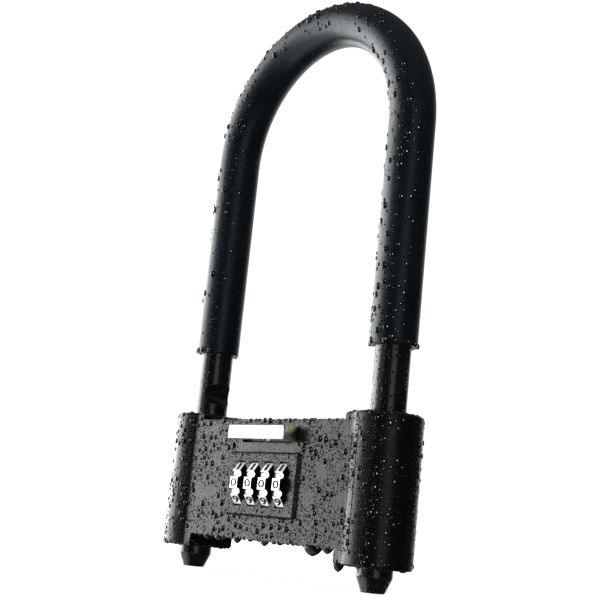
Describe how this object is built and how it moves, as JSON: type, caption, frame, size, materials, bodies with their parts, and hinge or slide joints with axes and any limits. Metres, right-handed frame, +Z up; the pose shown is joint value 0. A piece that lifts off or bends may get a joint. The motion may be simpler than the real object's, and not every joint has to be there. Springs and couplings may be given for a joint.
{
  "type": "u lock",
  "caption": "U-shaped bicycle lock: a sleeved steel shackle slides through a flat body with code dials and a slide bar that throws a bolt into each leg.",
  "frame": {"origin": "middle of the footprint, on the ground plane under the two leg tips; the legs' own plane is 2.3 mm behind it, because the slide bar stands out in front", "axes": "+X to the right along the lock body, +Y to the back, +Z up along the legs"},
  "size_m": [0.1366, 0.0316, 0.2432],
  "materials": {
    "body_plastic": "matte moulded, fine grain",
    "sleeve_rubber": "satin soft vinyl",
    "seal_rubber": "matte",
    "coated_steel": "black coated, satin",
    "chrome_plate": "bright plated",
    "case_casting": "black coated die casting",
    "plain_steel": "ground",
    "spring_steel": "blued",
    "code_brass": "machined"
  },
  "bodies": {
    "lock_body": {"left_end_housing": "body_plastic", "right_end_housing": "body_plastic", "left_leg_tube": "plain_steel", "right_leg_tube": "plain_steel", "left_base_ring": "body_plastic", "right_base_ring": "body_plastic", "left_wiper": "seal_rubber", "right_wiper": "seal_rubber", "lock_case": "case_casting", "front_cover": "body_plastic", "rear_cover": "body_plastic", "case_screws": "plain_steel", "housing_screws": "plain_steel", "dial_bezel": "body_plastic", "dial_carrier": "body_plastic", "carrier_end_plate": "plain_steel", "end_plate_screws": "plain_steel", "carrier_screws": "plain_steel", "detent_spring": "spring_steel"},
    "shackle": {"shackle": "coated_steel", "shackle_sleeve": "sleeve_rubber"},
    "bar": {"slide_bar": "chrome_plate", "cam_plate": "coated_steel", "bar_pins": "plain_steel"},
    "left_bolt": {"left_bolt": "plain_steel", "left_bolt_pin": "plain_steel"},
    "right_bolt": {"right_bolt": "plain_steel", "right_bolt_pin": "plain_steel"},
    "spindle": {"spindle": "plain_steel", "spindle_pin": "plain_steel"},
    "dial_1": {"dial_1": "chrome_plate", "code_ring_1": "code_brass"},
    "dial_2": {"dial_2": "chrome_plate", "code_ring_2": "code_brass"},
    "dial_3": {"dial_3": "chrome_plate", "code_ring_3": "code_brass"},
    "dial_4": {"dial_4": "chrome_plate", "code_ring_4": "code_brass"}
  },
  "joints": [
    {"name": "shackle_slide", "type": "slide", "parent": "lock_body", "child": "shackle", "axis": [0, 0, 1], "range_m": [-0.025, 0.085]},
    {"name": "bar_slide", "type": "slide", "parent": "lock_body", "child": "bar", "axis": [0, 0, -1], "range_m": [0, 0.0042]},
    {"name": "left_bolt_throw", "type": "slide", "parent": "lock_body", "child": "left_bolt", "axis": [-1, 0, 0], "range_m": [0, 0.0042]},
    {"name": "right_bolt_throw", "type": "slide", "parent": "lock_body", "child": "right_bolt", "axis": [1, 0, 0], "range_m": [0, 0.0042]},
    {"name": "spindle_shift", "type": "slide", "parent": "lock_body", "child": "spindle", "axis": [1, 0, 0], "range_m": [0, 0.0042]},
    {"name": "dial_1_turn", "type": "hinge", "parent": "lock_body", "child": "dial_1", "pos_m": [-0.01305, -0.0022, 0.0358], "axis": [1, 0, 0], "continuous": true},
    {"name": "dial_2_turn", "type": "hinge", "parent": "lock_body", "child": "dial_2", "pos_m": [-0.00435, -0.0022, 0.0358], "axis": [1, 0, 0], "continuous": true},
    {"name": "dial_3_turn", "type": "hinge", "parent": "lock_body", "child": "dial_3", "pos_m": [0.00435, -0.0022, 0.0358], "axis": [1, 0, 0], "continuous": true},
    {"name": "dial_4_turn", "type": "hinge", "parent": "lock_body", "child": "dial_4", "pos_m": [0.01305, -0.0022, 0.0358], "axis": [1, 0, 0], "continuous": true}
  ],
  "couplings": [
    {"joint": "left_bolt_throw", "follows": "bar_slide", "ratio": 1},
    {"joint": "right_bolt_throw", "follows": "bar_slide", "ratio": 1},
    {"joint": "spindle_shift", "follows": "bar_slide", "ratio": 1}
  ]
}
